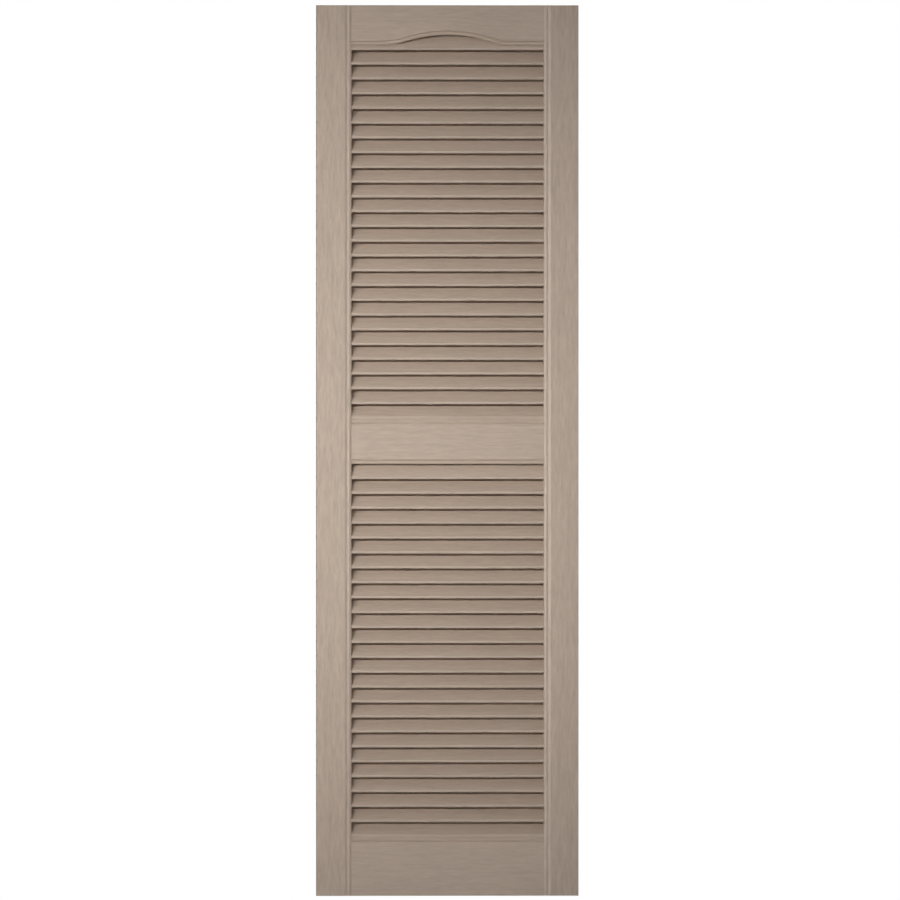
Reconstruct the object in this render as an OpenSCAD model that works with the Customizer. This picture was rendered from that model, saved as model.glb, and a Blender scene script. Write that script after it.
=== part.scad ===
// Louvred shutter panel for the wall beside a window, moulded in one piece: two stiles,
// an arched top rail, a centre rail, a bottom rail and two banks of fixed louvres.
// Units: mm. Frame: X to the right, Z up, the front faces -Y. The rear rim lies on y = 0
// and the bottom edge on z = 0, so the origin is the middle of the bottom edge at the wall.

/* [Overall] */
// Width of the panel
panel_width = 381; // [300:0.5:520]
// Height of the panel
panel_height = 1295.4; // [900:0.1:2100]
// Depth from the wall to the stile faces
panel_depth = 25.4; // [24:0.1:40]
// Thickness of the moulded walls and skins
wall = 2.3; // [1.8:0.1:3.2]
// Radius of the outer front edges
edge_radius = 1.3; // [0.6:0.1:2]

/* [Stiles] */
// Width of a stile, from the outer side to the inner edge of its bead
stile_width = 50.2; // [42:0.1:80]
// Width of the stile bead, from its inner edge to the groove outside it
stile_bead_width = 5.9; // [4:0.1:9]
// Distance of the crest of the stile bead from its inner edge
stile_crest = 3.2; // [2:0.1:5]
// How far the crest of the stile bead lies below the stile face
stile_bead_drop = 0.85; // [0.2:0.05:1.1]
// How far the groove outside the stile bead lies below the stile face
stile_groove_depth = 1.15; // [0.9:0.05:2]
// Width of the sloping side that leads from the stile face down to the groove
stile_groove_width = 3.8; // [1.5:0.1:6]

/* [Rails] */
// How far the rail faces, and the inner edges of the stile beads, lie below the stile faces
rail_recess = 2.1; // [1.2:0.1:2.4]
// Height of the bottom rail, its bead included
bottom_rail_height = 85.3; // [60:0.1:160]
// Height of the centre rail, its two beads included
centre_rail_height = 65.2; // [50:0.1:120]
// Height of the middle of the centre rail above the bottom edge of the panel
centre_rail_level = 660.6; // [400:0.1:1200]
// Height of the top rail where it meets the stiles, its bead included
top_rail_height = 58.3; // [45:0.1:120]

/* [Rail beads] */
// Width of the rail beads
bead_width = 5; // [4:0.1:8]
// Height of the rail beads over their feet
bead_rise = 0.95; // [0.5:0.05:1.5]
// How far the crest of a rail bead lies below the rail face
rail_bead_drop = 0.15; // [0.1:0.05:0.6]
// Width of the sloping side that leads from the rail's lip down to the bead
rail_groove_width = 1.6; // [0.8:0.1:3]
// Width of the raised lip between the rail face and that sloping side
lip_width = 2.4; // [1:0.1:4]
// Height of the lip over the rail face
lip_rise = 0.6; // [0.2:0.05:0.8]

/* [Arch] */
// Rise of the arch in the top rail
arch_rise = 15.1; // [8:0.1:25]
// Radius of the crown of the arch
crown_radius = 197; // [120:1:260]
// Radius of the two shoulders of the arch, which curve the other way
shoulder_radius = 131; // [80:1:200]

/* [Louvres] */
// Spacing of the louvres aimed at, stretched a little so that each bank comes out even
louvre_pitch = 21.6; // [18:0.1:30]
// Slope of the louvre faces, measured from the vertical
louvre_angle = 45; // [30:1:48]
// Thickness of a louvre
louvre_wall = 2.2; // [1.8:0.1:2.8]
// Height of the upright nose of a louvre
nose_height = 3.4; // [2.5:0.1:6]
// How far the noses lie below the stile faces
nose_recess = 2.5; // [1.5:0.1:3]
// Height of the dark slit between two louvres
slit_height = 3; // [2:0.1:4.5]
// Height of the narrower slit between the centre rail and the louvre below it
head_slit_height = 0.8; // [0.6:0.1:4.5]
// Slope of that louvre's face, measured from the vertical
head_angle = 34; // [30:1:48]
// Height of the groove between a rail and the nose of the louvre above it
foot_gap = 0.6; // [0.4:0.1:2]
// Depth of that groove behind the nose
foot_gap_depth = 1.2; // [0.6:0.1:1.6]
// How far the rear upstand of a louvre reaches above the nose of the next one up
upstand_overlap = 1.2; // [0.5:0.1:2.5]
// Clearance between the louvres' rear upstands and the wall
upstand_clearance = 2.3; // [1.5:0.1:4]

/* [Infill] */
// Height of the infill panel below the top rail where it meets the stiles
infill_height = 6.8; // [6:0.1:20]
// Slope of the infill panel, measured from the vertical
infill_angle = 36; // [20:1:42]

/* [Back] */
// Number of upright ribs that tie the louvres together at the back
tie_rib_count = 2; // [2:1:4]
// Number of louvre spacings from one rib inside a stile to the next
stile_rib_step = 5; // [3:1:5]
// Thickness of the ribs inside the stiles
rib_wall = 2; // [1.6:0.1:2.6]

/* [Vents] */
// Height of a vent slot in the side of a stile
vent_height = 4; // [1.5:0.1:5]
// Length of a vent slot, front to back, on the inside of the wall
vent_length = 19.6; // [8:0.1:20]
// How much shorter a vent slot is on the outside, where its rear end slants forward
vent_slant = 4; // [0:0.1:6]
// Height of the middle of a vent above the foot of the nose beside it
vent_offset = 3.2; // [0:0.1:8]

/* [Hidden] */
$fn = 72;

// Overlap with which two bodies are joined, and the clearance of a cutter
bite = 1;
// How far the ends of the rails and louvres reach into the inner walls of the stiles
end_seat = 1.8;
// Exponent of the inner side of the stile bead, where 1 would be a flat slope
inner_curve = 1.3;
// Exponent of the outer side of the stile bead
outer_curve = 2;
// Distance from a rail's bead edge at which the skin begins to thin out
plate_start = bead_width + rail_groove_width + lip_width;
// Extra thickness of the skin behind a bead
bead_backing = 1.3;
// Number of flats in the rounded front of every bead
bead_steps = 8;
// Number of flats along each shoulder of the arch, and along each half of its crown
arch_steps = 7;

half_width = panel_width / 2;
opening_half = half_width - stile_width;
rail_half = opening_half + end_seat;

centre_rail_low = centre_rail_level - centre_rail_height / 2;
centre_rail_high = centre_rail_low + centre_rail_height;
top_rail_low = panel_height - top_rail_height;

// Each bank hangs from its top level and ends with a nose just above the rail below it
lower_top = centre_rail_low;
lower_foot = bottom_rail_height + foot_gap;
lower_count = round((lower_top - lower_foot) / louvre_pitch);
lower_pitch = (lower_top - lower_foot) / lower_count;
upper_top = top_rail_low - infill_height;
upper_foot = centre_rail_high + foot_gap;
upper_count = round((upper_top - upper_foot) / louvre_pitch);
upper_pitch = (upper_top - upper_foot) / upper_count;

// Rows of vents: top of the bank beside them, its spacing, and the first and last place,
// counted in spacings down from that level
vent_rows = [
    [lower_top, lower_pitch, -4, lower_count - 4],
    [upper_top, upper_pitch, -2, upper_count - 5]
];

// The arch is a crown arc between two shoulder arcs, all tangent to each other
arc_sum = crown_radius + shoulder_radius;
shoulder_x = sqrt(2 * arc_sum * arch_rise - arch_rise * arch_rise);
arch_turn = asin(shoulder_x / arc_sum);

// Levels of a rail section, as depths below the stile faces
bead_crest = rail_recess + rail_bead_drop;
// Radius of the rounded front of a rail bead, from its width and its rise
bead_radius = (bead_width * bead_width / 4 + bead_rise * bead_rise) / (2 * bead_rise);
rail_back = rail_recess + wall;
bead_back = rail_back + bead_backing;

upstand_back = panel_depth - upstand_clearance;
upstand_front = upstand_back - louvre_wall;

// Lower edge of the top rail's wall at a distance x from the middle
function arch_level(x) =
    abs(x) <= crown_radius * sin(arch_turn)
        ? top_rail_low + arch_rise - crown_radius + sqrt(crown_radius * crown_radius - x * x)
        : abs(x) >= shoulder_x
            ? top_rail_low
            : top_rail_low + shoulder_radius
                - sqrt(shoulder_radius * shoulder_radius - pow(shoulder_x - abs(x), 2));

// Extrudes a (y, z) outline along X from one position to another
module along_x(from, to) {
    translate([from, 0, 0])
        rotate([90, 0, 90])
            linear_extrude(height = to - from)
                children();
}

// Extrudes an (x, z) outline along Y between two depths below the stile faces
module through_depth(front, back) {
    translate([0, back - panel_depth, 0])
        rotate([90, 0, 0])
            linear_extrude(height = back - front)
                children();
}

// Points of a rail bead's rounded front, from one foot to the other, in (across, depth)
function bead_points() = [
    for (i = [0:bead_steps])
        let (t = bead_width * i / bead_steps, r = bead_radius)
            [t, bead_crest + r - sqrt(r * r - pow(t - bead_width / 2, 2))]
];

// Points of a stile bead, from its inner edge over its crest to the groove, in (across, depth)
function stile_bead_points() = [
    for (i = [0:bead_steps])
        let (
            t = stile_bead_width * i / bead_steps,
            inner = max(0, 1 - t / stile_crest),
            outer = max(0, (t - stile_crest) / (stile_bead_width - stile_crest))
        )
            [
                t,
                stile_bead_drop
                    + (rail_recess - stile_bead_drop) * pow(inner, inner_curve)
                    + (stile_groove_depth - stile_bead_drop) * pow(outer, outer_curve)
            ]
];

// The same list of points in the opposite order
function backwards(points) = [for (i = [len(points) - 1:-1:0]) points[i]];

// Plan section of the right stile: side wall, face, groove, bead and inner wall
module stile_section() {
    face_inner = opening_half + stile_bead_width + stile_groove_width;
    back = stile_groove_depth + wall + bead_backing;
    translate([0, -panel_depth])
        polygon(concat(
            [
                [half_width, panel_depth],
                [half_width, 0],
                [face_inner, 0]
            ],
            [for (p = backwards(stile_bead_points())) [opening_half + p[0], p[1]]],
            [
                [opening_half, panel_depth],
                [opening_half + wall, panel_depth],
                [opening_half + wall, back],
                [face_inner, back],
                [face_inner + bead_backing + stile_groove_depth, wall],
                [half_width - wall, wall],
                [half_width - wall, panel_depth]
            ]
        ));
}

module stile() {
    linear_extrude(height = panel_height)
        stile_section();
}

// Edge of a rail in (distance from the edge, depth): over the lip, down the groove, over the
// bead, back along the edge to the wall plane and round the inside to the back of the skin
function rail_edge_points() = concat(
    [
        [bead_width + rail_groove_width + lip_width, rail_recess],
        [bead_width + rail_groove_width, rail_recess - lip_rise]
    ],
    backwards(bead_points()),
    [
        [0, panel_depth],
        [wall, panel_depth],
        [wall, bead_back],
        [plate_start, bead_back],
        [plate_start + bead_backing, rail_back]
    ]
);

// Points along the arch at a distance above its edge, from the left stile to the right one,
// with heights measured from the level ends of the arch
function arch_line(distance) =
    let (
        crown = crown_radius + distance,
        shoulder = shoulder_radius - distance
    )
        concat(
            [[-rail_half, distance]],
            [
                for (i = [0:arch_steps])
                    let (a = arch_turn * i / arch_steps)
                        [shoulder * sin(a) - shoulder_x, shoulder_radius - shoulder * cos(a)]
            ],
            [
                for (i = [1 - arch_steps:arch_steps - 1])
                    let (a = arch_turn * i / arch_steps)
                        [crown * sin(a), arch_rise - crown_radius + crown * cos(a)]
            ],
            [
                for (i = [0:arch_steps])
                    let (a = arch_turn * (1 - i / arch_steps))
                        [shoulder_x - shoulder * sin(a), shoulder_radius - shoulder * cos(a)]
            ],
            [[rail_half, distance]]
        );

// Rings of points round the top rail, each running along the arch from stile to stile
function top_rail_rings() =
    let (
        edge = rail_edge_points(),
        across = arch_line(edge[0][0]),
        ends = [rail_back, rail_recess]
    )
        concat(
            [for (d = ends) [for (p = across) [p[0], d - panel_depth, top_rail_height]]],
            [for (e = edge) [for (p = arch_line(e[0])) [p[0], e[1] - panel_depth, p[1]]]]
        );

// The top rail: its skin, its arched bead and the wall behind the bead in one body
module top_rail() {
    rings = top_rail_rings();
    m = len(rings[0]);
    n = len(rings);
    translate([0, 0, top_rail_low])
        polyhedron(
            points = [for (ring = rings) for (p = ring) p],
            faces = concat(
                [
                    for (i = [0:n - 1])
                        for (j = [0:m - 2])
                            let (a = i * m + j, b = ((i + 1) % n) * m + j)
                                [a, a + 1, b + 1, b]
                ],
                [
                    [for (i = [0:n - 1]) i * m],
                    [for (i = [n - 1:-1:0]) i * m + m - 1]
                ]
            ),
            convexity = 6
        );
}

module centre_rail() {
    along_x(-rail_half, rail_half)
        polygon(concat(
            [for (p = rail_edge_points()) [p[1] - panel_depth, centre_rail_high - p[0]]],
            [for (p = backwards(rail_edge_points())) [p[1] - panel_depth, centre_rail_low + p[0]]]
        ));
}

module bottom_rail() {
    along_x(-rail_half, rail_half)
        polygon(concat(
            [for (p = rail_edge_points()) [p[1] - panel_depth, bottom_rail_height - p[0]]],
            [[rail_back - panel_depth, 0], [rail_recess - panel_depth, 0]]
        ));
}

// Section of a louvre in (y, z): nose, sloping face, ledge and rear upstand
module louvre_section(pitch, slit, angle) {
    face_top = pitch - slit;
    rise = face_top - nose_height;
    shift = louvre_wall / cos(angle);
    face_back = nose_recess + rise * tan(angle);
    ledge_low = face_top - louvre_wall;
    nose_back = nose_recess + louvre_wall;
    translate([-panel_depth, 0])
        polygon([
            [nose_recess, 0],
            [nose_recess, nose_height],
            [face_back, face_top],
            [upstand_front, face_top],
            [upstand_front, pitch + upstand_overlap],
            [upstand_back, pitch + upstand_overlap],
            [upstand_back, ledge_low],
            [nose_recess + shift + (ledge_low - nose_height) * tan(angle), ledge_low],
            [nose_back, nose_height - (shift - louvre_wall) / tan(angle)],
            [nose_back, 0]
        ]);
}

// A bank of louvres that hangs from a level, and the strip behind the groove at its foot. The
// first louvre has a slit above it and a slope of its own.
module louvre_bank(top, pitch, count, first_slit, first_angle) {
    translate([0, 0, top - pitch])
        along_x(-rail_half, rail_half)
            louvre_section(pitch, first_slit, first_angle);
    for (k = [2:count])
        translate([0, 0, top - k * pitch])
            along_x(-rail_half, rail_half)
                louvre_section(pitch, slit_height, louvre_angle);
    strip_front = nose_recess + foot_gap_depth;
    translate([0, 0, top - count * pitch - foot_gap])
        along_x(-rail_half, rail_half)
            translate([strip_front - panel_depth, -bite])
                square([nose_recess + louvre_wall - strip_front, foot_gap + 2 * bite]);
}

// Infill panel that closes the space under the arch, with a nose like a louvre's
module infill() {
    reach = infill_height + arch_rise + wall;
    shift = louvre_wall / cos(infill_angle);
    slope = (reach - nose_height) * tan(infill_angle);
    nose_back = nose_recess + louvre_wall;
    translate([0, 0, upper_top])
        intersection() {
            along_x(-rail_half, rail_half)
                translate([-panel_depth, 0])
                    polygon([
                        [nose_recess, 0],
                        [nose_recess, nose_height],
                        [nose_recess + slope, reach],
                        [nose_recess + shift + slope, reach],
                        [nose_back, nose_height - (shift - louvre_wall) / tan(infill_angle)],
                        [nose_back, 0]
                    ]);
            through_depth(0, panel_depth)
                polygon(concat(
                    [for (p = arch_line(wall / 2)) [p[0], p[1] + infill_height]],
                    [[rail_half, -bite], [-rail_half, -bite]]
                ));
        }
}

// End walls of the panel, set behind the skins of the stiles and rails
module end_walls() {
    front = rail_recess + wall / 2;
    for (low = [0, panel_height - wall])
        translate([bite - half_width, front - panel_depth, low])
            cube([panel_width - 2 * bite, panel_depth - front, wall]);
}

// Upright ribs: a shallow strip behind the louvres and full-depth webs behind the rails
module tie_ribs() {
    spacing = 2 * opening_half / (tie_rib_count + 1);
    strip = upstand_front + louvre_wall / 4;
    web = rail_recess + wall / 2;
    for (k = [1:tie_rib_count]) {
        x = k * spacing - opening_half;
        translate([x - wall / 2, strip - panel_depth, wall / 2])
            cube([wall, panel_depth - strip, panel_height - wall]);
        for (span = [
            [wall / 2, bottom_rail_height - wall / 2],
            [centre_rail_low + wall / 2, centre_rail_high - wall / 2],
            [arch_level(x) + wall / 2, panel_height - wall / 2]
        ])
            translate([x - wall / 2, web - panel_depth, span[0]])
                cube([wall, panel_depth - web, span[1] - span[0]]);
    }
}

// Ribs across the hollow of a stile, halfway between its vents
module stile_ribs() {
    front = wall / 2;
    inner = opening_half + wall / 2;
    for (bank = [[lower_top, lower_pitch, lower_count], [upper_top, upper_pitch, upper_count]])
        for (k = [0:stile_rib_step:bank[2]])
            for (side = [0, 1])
                mirror([side, 0, 0])
                    translate([
                        inner,
                        front - panel_depth,
                        bank[0] + vent_offset - (k + 0.5) * bank[1] - rib_wall / 2
                    ])
                        cube([half_width - wall / 2 - inner, panel_depth - front, rib_wall]);
}

// Plan of a vent slot in the right side wall, with a rear end that slants through the wall
module vent_plan() {
    front = (panel_depth - vent_length) / 2 - panel_depth;
    inner = half_width - wall - bite / 2;
    outer = half_width + bite;
    lean = vent_slant / wall;
    polygon([
        [inner, front],
        [outer, front],
        [outer, front + vent_length - vent_slant - lean * bite],
        [inner, front + vent_length + lean * bite / 2]
    ]);
}

// Vent slots through the side walls, one beside each nose and a few beside the rails
module vents() {
    for (side = [0, 1])
        mirror([side, 0, 0])
            for (row = vent_rows)
                for (k = [row[2]:row[3]])
                    translate([0, 0, row[0] + vent_offset - k * row[1] - vent_height / 2])
                        linear_extrude(height = vent_height)
                            vent_plan();
}

// Cutter that leaves a rounded corner at the origin of the first quadrant
module corner_cut() {
    difference() {
        translate([-bite, -bite])
            square([edge_radius + bite, edge_radius + bite]);
        translate([edge_radius, edge_radius])
            circle(r = edge_radius);
    }
}

// Rounds the four outer front edges
module front_edges() {
    for (side = [0, 1])
        mirror([side, 0, 0])
            translate([-half_width, -panel_depth, -bite])
                linear_extrude(height = panel_height + 2 * bite)
                    corner_cut();
    along_x(-half_width - bite, half_width + bite)
        translate([-panel_depth, 0])
            corner_cut();
    along_x(-half_width - bite, half_width + bite)
        translate([-panel_depth, panel_height])
            mirror([0, 1])
                corner_cut();
}

module shutter_panel() {
    color("#B5A595")
        difference() {
            union() {
                stile();
                mirror([1, 0, 0])
                    stile();
                bottom_rail();
                centre_rail();
                top_rail();
                infill();
                louvre_bank(lower_top, lower_pitch, lower_count, head_slit_height, head_angle);
                louvre_bank(upper_top, upper_pitch, upper_count, slit_height, louvre_angle);
                end_walls();
                tie_ribs();
                stile_ribs();
            }
            vents();
            front_edges();
        }
}

shutter_panel();
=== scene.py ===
"""Looks for the moulded louvred shutter panel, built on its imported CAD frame."""

import logging
import math
from dataclasses import dataclass, field
from enum import Enum

import bpy
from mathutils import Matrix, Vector

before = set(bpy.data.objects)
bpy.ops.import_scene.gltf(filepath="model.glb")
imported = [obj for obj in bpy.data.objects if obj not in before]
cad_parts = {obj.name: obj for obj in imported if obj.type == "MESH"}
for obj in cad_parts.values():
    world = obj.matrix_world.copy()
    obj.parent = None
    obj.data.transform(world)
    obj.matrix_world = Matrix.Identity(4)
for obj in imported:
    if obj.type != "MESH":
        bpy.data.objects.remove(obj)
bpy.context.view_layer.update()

logging.basicConfig(level=logging.INFO, format="%(message)s")
LOG = logging.getLogger("shutter")

Colour = tuple[float, float, float, float]
Point = tuple[float, float, float]

WHITE: Colour = (1.0, 1.0, 1.0, 1.0)
MM = 0.001


class Grain(Enum):
    """Which way the embossed wood grain runs. The value tells whether it runs with X, Y and Z."""

    UPRIGHT = (False, False, True)
    LEVEL = (True, False, False)

    def scale(self, fine: float, long: float) -> Point:
        """Gives the noise scale along X, Y and Z.

        Args:
            fine: Scale across the grain, in waves per metre.
            long: Scale along the grain, in waves per metre.

        Returns:
            The three scales.
        """
        x, y, z = (long if with_axis else fine for with_axis in self.value)
        return (x, y, z)


class NodeGraph:
    """A small helper that adds and links shader nodes."""

    NOISE_USUAL = (0.3, 0.7)
    NOISE_ROUGHNESS = 0.6

    def __init__(self, tree: bpy.types.NodeTree) -> None:
        """Takes the tree to build in and empties it."""
        self.tree = tree
        self.tree.nodes.clear()

    def add(self, kind: str, **inputs: object) -> bpy.types.Node:
        """Adds a node.

        Args:
            kind: The node's type name.
            **inputs: Socket values, keyed by socket name with spaces as underscores.

        Returns:
            The new node.
        """
        node = self.tree.nodes.new(kind)
        for name, value in inputs.items():
            node.inputs[name.replace("_", " ")].default_value = value
        return node

    def link(self, source: bpy.types.NodeSocket, target: bpy.types.NodeSocket) -> None:
        """Joins an output socket to an input socket."""
        self.tree.links.new(source, target)

    def noise(
        self, where: bpy.types.NodeSocket, scale: Point, detail: float
    ) -> bpy.types.NodeSocket:
        """Adds a stretched noise.

        Args:
            where: Socket that gives the coordinates.
            scale: Waves per metre along X, Y and Z.
            detail: Number of finer octaves.

        Returns:
            The socket that gives the noise.
        """
        stretch = self.add("ShaderNodeMapping", Scale=scale)
        self.link(where, stretch.inputs["Vector"])
        made = self.add(
            "ShaderNodeTexNoise", Scale=1.0, Detail=detail, Roughness=self.NOISE_ROUGHNESS
        )
        self.link(stretch.outputs["Vector"], made.inputs["Vector"])
        return made.outputs["Fac"]

    def ranged(self, value: bpy.types.NodeSocket, low: float, high: float) -> bpy.types.NodeSocket:
        """Spreads the middle of a noise over a range.

        Args:
            value: Socket that gives the noise.
            low: Result for the low end of the noise's usual values.
            high: Result for the high end.

        Returns:
            The socket that gives the result.
        """
        usual_low, usual_high = self.NOISE_USUAL
        made = self.add(
            "ShaderNodeMapRange", From_Min=usual_low, From_Max=usual_high, To_Min=low, To_Max=high
        )
        self.link(value, made.inputs["Value"])
        return made.outputs["Result"]


@dataclass(frozen=True)
class GrainedPlastic:
    """Satin moulded plastic with a shallow embossed wood grain, in fibres and broader bands."""

    name: str
    grain: Grain
    base: Colour = (0.487, 0.385, 0.306, 1.0)
    roughness: float = 0.45
    fibre_scale: tuple[float, float] = (330.0, 48.0)
    band_scale: tuple[float, float] = (130.0, 9.0)
    fibre_detail: float = 3.0
    band_detail: float = 1.0
    emboss_mm: float = 0.12
    emboss_strength: float = 0.6
    fibre_streak: float = 0.10
    band_streak: float = 0.035

    def material(self) -> bpy.types.Material:
        """Builds the material.

        Returns:
            A material with the plastic's colour, sheen and grain.
        """
        made = bpy.data.materials.new(self.name)
        made.use_nodes = True
        graph = NodeGraph(made.node_tree)
        where = graph.add("ShaderNodeTexCoord").outputs["Object"]
        fibres = graph.noise(where, self.grain.scale(*self.fibre_scale), self.fibre_detail)
        bands = graph.noise(where, self.grain.scale(*self.band_scale), self.band_detail)
        fine = graph.ranged(fibres, 1.0 - self.fibre_streak, 1.0 + self.fibre_streak)
        broad = graph.ranged(bands, 1.0 - self.band_streak, 1.0 + self.band_streak)
        both = graph.add("ShaderNodeMath")
        both.operation = "MULTIPLY"
        graph.link(fine, both.inputs[0])
        graph.link(broad, both.inputs[1])
        tinted = graph.add("ShaderNodeVectorMath")
        tinted.operation = "SCALE"
        tinted.inputs[0].default_value = self.base[:3]
        graph.link(both.outputs["Value"], tinted.inputs["Scale"])
        bump = graph.add(
            "ShaderNodeBump", Strength=self.emboss_strength, Distance=self.emboss_mm * MM
        )
        graph.link(fibres, bump.inputs["Height"])
        shader = graph.add("ShaderNodeBsdfPrincipled", Roughness=self.roughness)
        graph.link(tinted.outputs["Vector"], shader.inputs["Base Color"])
        graph.link(bump.outputs["Normal"], shader.inputs["Normal"])
        out = graph.add("ShaderNodeOutputMaterial")
        graph.link(shader.outputs["BSDF"], out.inputs["Surface"])
        return made


@dataclass
class ShutterPanel:
    """The one-piece moulding: stiles, rails, beads, louvres and the hollow back."""

    node: str = "shutter_panel"
    stile_inner: float = 0.1403
    upright: GrainedPlastic = GrainedPlastic(
        "plastic_upright_grain", Grain.UPRIGHT, fibre_streak=0.115
    )
    level: GrainedPlastic = GrainedPlastic("plastic_level_grain", Grain.LEVEL, fibre_streak=0.075)

    def dress(self) -> bpy.types.Object:
        """Gives the CAD moulding its two grain directions.

        Returns:
            The dressed CAD node.
        """
        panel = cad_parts[self.node]
        mesh = panel.data
        mesh.materials.clear()
        for finish in (self.upright, self.level):
            mesh.materials.append(finish.material())
        for face in mesh.polygons:
            face.material_index = 0 if abs(face.center.x) > self.stile_inner else 1
        return panel


@dataclass
class Lamp:
    """A far soft lamp with a narrow beam, aimed at one point of the panel."""

    name: str
    azimuth_deg: float
    elevation_deg: float
    power: float
    distance: float = 25.0
    size: float = 1.2
    spread_deg: float = 4.58
    target: Point = (-0.305, 0.0, 0.705)

    def build(self) -> bpy.types.Object:
        """Makes the lamp.

        Returns:
            The lamp's object.
        """
        light = bpy.data.lights.new(self.name, "AREA")
        light.shape = "DISK"
        light.size = self.size
        light.energy = self.power
        light.spread = math.radians(self.spread_deg)
        made = bpy.data.objects.new(self.name, light)
        a, e = math.radians(self.azimuth_deg), math.radians(self.elevation_deg)
        back = Vector((math.sin(a) * math.cos(e), -math.cos(a) * math.cos(e), math.sin(e)))
        made.location = Vector(self.target) + back * self.distance
        made.rotation_euler = (-back).to_track_quat("-Z", "Y").to_euler()
        bpy.context.scene.collection.objects.link(made)
        return made


@dataclass
class Studio:
    """Floor, backdrop, lamps and camera."""

    floor_drop: float = 0.2
    floor_half: float = 3.0
    floor_colour: Colour = (0.82, 0.82, 0.81, 1.0)
    floor_roughness: float = 0.7
    floor_lift: float = 0.4
    camera_distance: float = 50.0
    camera_azimuth_deg: float = -3.3
    camera_clip: tuple[float, float] = (1.0, 200.0)
    frame_width: float = 1.3091
    aim: Vector = field(default_factory=lambda: Vector((0.0032, -0.0254, 0.6484)))
    glow_below: float = 0.02
    glow_above: float = 0.38
    lamps: tuple[Lamp, ...] = (
        Lamp("key_near", -16.0, 9.2, 1.49),
        Lamp("key", -27.0, 9.2, 1.88),
        Lamp("key_wide", -42.0, 9.2, 1.49),
        Lamp("fill_back", 172.0, -1.0, 1.4, spread_deg=8.0, target=(0.0, 0.0, 0.65)),
    )

    def floor(self) -> bpy.types.Object:
        """Lays a pale floor a little below the panel, which hangs on a wall in use.

        Returns:
            The floor's object.
        """
        h = self.floor_half
        mesh = bpy.data.meshes.new("floor")
        corners = [(-h, -h, 0), (h, -h, 0), (h, h, 0), (-h, h, 0)]
        mesh.from_pydata(corners, [], [(0, 1, 2, 3)])
        made = bpy.data.objects.new("floor", mesh)
        made.location.z = -self.floor_drop
        bpy.context.scene.collection.objects.link(made)
        mesh.materials.append(self.floor_material())
        return made

    def floor_material(self) -> bpy.types.Material:
        """Builds the floor's plain pale finish. Its lift is for the camera only and lights nothing.

        Returns:
            The floor's material.
        """
        made = bpy.data.materials.new("pale_floor")
        made.use_nodes = True
        graph = NodeGraph(made.node_tree)
        shader = graph.add(
            "ShaderNodeBsdfPrincipled",
            Base_Color=self.floor_colour,
            Roughness=self.floor_roughness,
            Emission_Color=WHITE,
        )
        lift = graph.add("ShaderNodeMapRange", To_Max=self.floor_lift)
        graph.link(graph.add("ShaderNodeLightPath").outputs["Is Camera Ray"], lift.inputs["Value"])
        graph.link(lift.outputs["Result"], shader.inputs["Emission Strength"])
        out = graph.add("ShaderNodeOutputMaterial")
        graph.link(shader.outputs["BSDF"], out.inputs["Surface"])
        return made

    def world(self) -> None:
        """White to the camera, and on the panel a dim glow that grows towards the sky."""
        world = bpy.data.worlds.new("studio")
        bpy.context.scene.world = world
        world.use_nodes = True
        graph = NodeGraph(world.node_tree)
        height = graph.add("ShaderNodeSeparateXYZ")
        graph.link(graph.add("ShaderNodeTexCoord").outputs["Generated"], height.inputs["Vector"])
        rise = graph.add(
            "ShaderNodeMapRange", From_Min=-1.0, To_Min=self.glow_below, To_Max=self.glow_above
        )
        graph.link(height.outputs["Z"], rise.inputs["Value"])
        glow = graph.add("ShaderNodeBackground", Color=WHITE)
        graph.link(rise.outputs["Result"], glow.inputs["Strength"])
        white = graph.add("ShaderNodeBackground", Color=WHITE, Strength=1.0)
        mix = graph.add("ShaderNodeMixShader")
        graph.link(graph.add("ShaderNodeLightPath").outputs["Is Camera Ray"], mix.inputs["Fac"])
        graph.link(glow.outputs["Background"], mix.inputs[1])
        graph.link(white.outputs["Background"], mix.inputs[2])
        out = graph.add("ShaderNodeOutputWorld")
        graph.link(mix.outputs["Shader"], out.inputs["Surface"])

    def camera(self) -> bpy.types.Object:
        """Sets up a long-lens camera a few degrees to the left of straight in front.

        Returns:
            The camera's object.
        """
        data = bpy.data.cameras.new("camera")
        data.lens = data.sensor_width * self.camera_distance / self.frame_width
        data.clip_start, data.clip_end = self.camera_clip
        made = bpy.data.objects.new("camera", data)
        a = math.radians(self.camera_azimuth_deg)
        back = Vector((math.sin(a), -math.cos(a), 0.0))
        made.location = self.aim + back * self.camera_distance
        made.rotation_euler = (-back).to_track_quat("-Z", "Y").to_euler()
        bpy.context.scene.collection.objects.link(made)
        bpy.context.scene.camera = made
        return made

    def build(self) -> None:
        """Sets the whole studio and the way colours are shown."""
        self.floor()
        self.world()
        for lamp in self.lamps:
            lamp.build()
        self.camera()
        view = bpy.context.scene.view_settings
        view.view_transform = "Standard"
        view.look = "None"
        view.exposure = 0.0


def main() -> None:
    """Builds the classes in order and logs each piece."""
    panel = ShutterPanel().dress()
    LOG.info("%s: %d faces", panel.name, len(panel.data.polygons))
    studio = Studio()
    studio.build()
    LOG.info("studio: %d lamps", len(studio.lamps))


if __name__ == "__main__":
    main()
